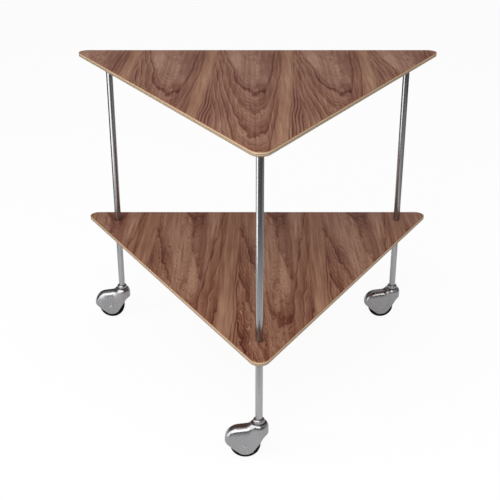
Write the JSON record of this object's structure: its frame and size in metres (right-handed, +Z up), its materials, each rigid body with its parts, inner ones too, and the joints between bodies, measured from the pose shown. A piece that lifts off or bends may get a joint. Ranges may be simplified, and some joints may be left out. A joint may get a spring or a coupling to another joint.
{
  "type": "rolling side table",
  "caption": "Tiered triangular side table with rounded plywood shelves on slim steel legs, each leg standing on a hooded swivel caster that rolls.",
  "frame": {"origin": "on the floor, under the middle of the shelves' outline", "axes": "+Z up, +Y towards the straight back edge, +X to the right seen from the front tip"},
  "size_m": [0.6664, 0.5816, 0.5425],
  "materials": {
    "walnut_plywood": "oiled walnut veneer on pale plywood",
    "leg_steel": "polished bar",
    "plated_casting": "satin chrome plate",
    "flange_steel": "black powder coat",
    "fastener_steel": "zinc plate",
    "bearing_steel": "ground and hardened",
    "bush_bronze": "sintered bronze",
    "spacer_nylon": "natural nylon",
    "hub_nylon": "black moulded nylon",
    "tyre_rubber": "plain black rubber"
  },
  "bodies": {
    "frame": {"top_shelf": "walnut_plywood", "lower_shelf": "walnut_plywood", "upper_leg_left": "leg_steel", "lower_leg_left": "leg_steel", "joining_stud_left": "fastener_steel", "mounting_flange_left": "flange_steel", "flange_screw_left": "fastener_steel", "shelf_screws_left": "fastener_steel", "swivel_cap_left": "plated_casting", "swivel_sleeve_left": "bush_bronze", "bearing_race_left": "bearing_steel", "upper_leg_right": "leg_steel", "lower_leg_right": "leg_steel", "joining_stud_right": "fastener_steel", "mounting_flange_right": "flange_steel", "flange_screw_right": "fastener_steel", "shelf_screws_right": "fastener_steel", "swivel_cap_right": "plated_casting", "swivel_sleeve_right": "bush_bronze", "bearing_race_right": "bearing_steel", "upper_leg_front": "leg_steel", "lower_leg_front": "leg_steel", "joining_stud_front": "fastener_steel", "mounting_flange_front": "flange_steel", "flange_screw_front": "fastener_steel", "shelf_screws_front": "fastener_steel", "swivel_cap_front": "plated_casting", "swivel_sleeve_front": "bush_bronze", "bearing_race_front": "bearing_steel"},
    "caster_left": {"caster_hood_left": "plated_casting", "swivel_stem_left": "fastener_steel", "stem_clip_left": "fastener_steel", "bearing_balls_left": "bearing_steel", "axle_left": "fastener_steel", "axle_spacers_left": "spacer_nylon"},
    "wheel_left": {"wheel_hub_left": "hub_nylon", "wheel_bush_left": "bush_bronze", "tyre_left": "tyre_rubber"},
    "caster_right": {"caster_hood_right": "plated_casting", "swivel_stem_right": "fastener_steel", "stem_clip_right": "fastener_steel", "bearing_balls_right": "bearing_steel", "axle_right": "fastener_steel", "axle_spacers_right": "spacer_nylon"},
    "wheel_right": {"wheel_hub_right": "hub_nylon", "wheel_bush_right": "bush_bronze", "tyre_right": "tyre_rubber"},
    "caster_front": {"caster_hood_front": "plated_casting", "swivel_stem_front": "fastener_steel", "stem_clip_front": "fastener_steel", "bearing_balls_front": "bearing_steel", "axle_front": "fastener_steel", "axle_spacers_front": "spacer_nylon"},
    "wheel_front": {"wheel_hub_front": "hub_nylon", "wheel_bush_front": "bush_bronze", "tyre_front": "tyre_rubber"}
  },
  "joints": [
    {"name": "swivel_left", "type": "hinge", "parent": "frame", "child": "caster_left", "pos_m": [-0.27537, 0.25058, 0.025], "axis": [0, 0, 1], "continuous": true},
    {"name": "spin_left", "type": "hinge", "parent": "caster_left", "child": "wheel_left", "pos_m": [-0.29737, 0.25058, 0.025], "axis": [0, 1, 0], "continuous": true},
    {"name": "swivel_right", "type": "hinge", "parent": "frame", "child": "caster_right", "pos_m": [0.27537, 0.25058, 0.025], "axis": [0, 0, 1], "continuous": true},
    {"name": "spin_right", "type": "hinge", "parent": "caster_right", "child": "wheel_right", "pos_m": [0.25337, 0.25058, 0.025], "axis": [0, 1, 0], "continuous": true},
    {"name": "swivel_front", "type": "hinge", "parent": "frame", "child": "caster_front", "pos_m": [0, -0.22638, 0.025], "axis": [0, 0, 1], "continuous": true},
    {"name": "spin_front", "type": "hinge", "parent": "caster_front", "child": "wheel_front", "pos_m": [-0.022, -0.22638, 0.025], "axis": [0, 1, 0], "continuous": true}
  ]
}
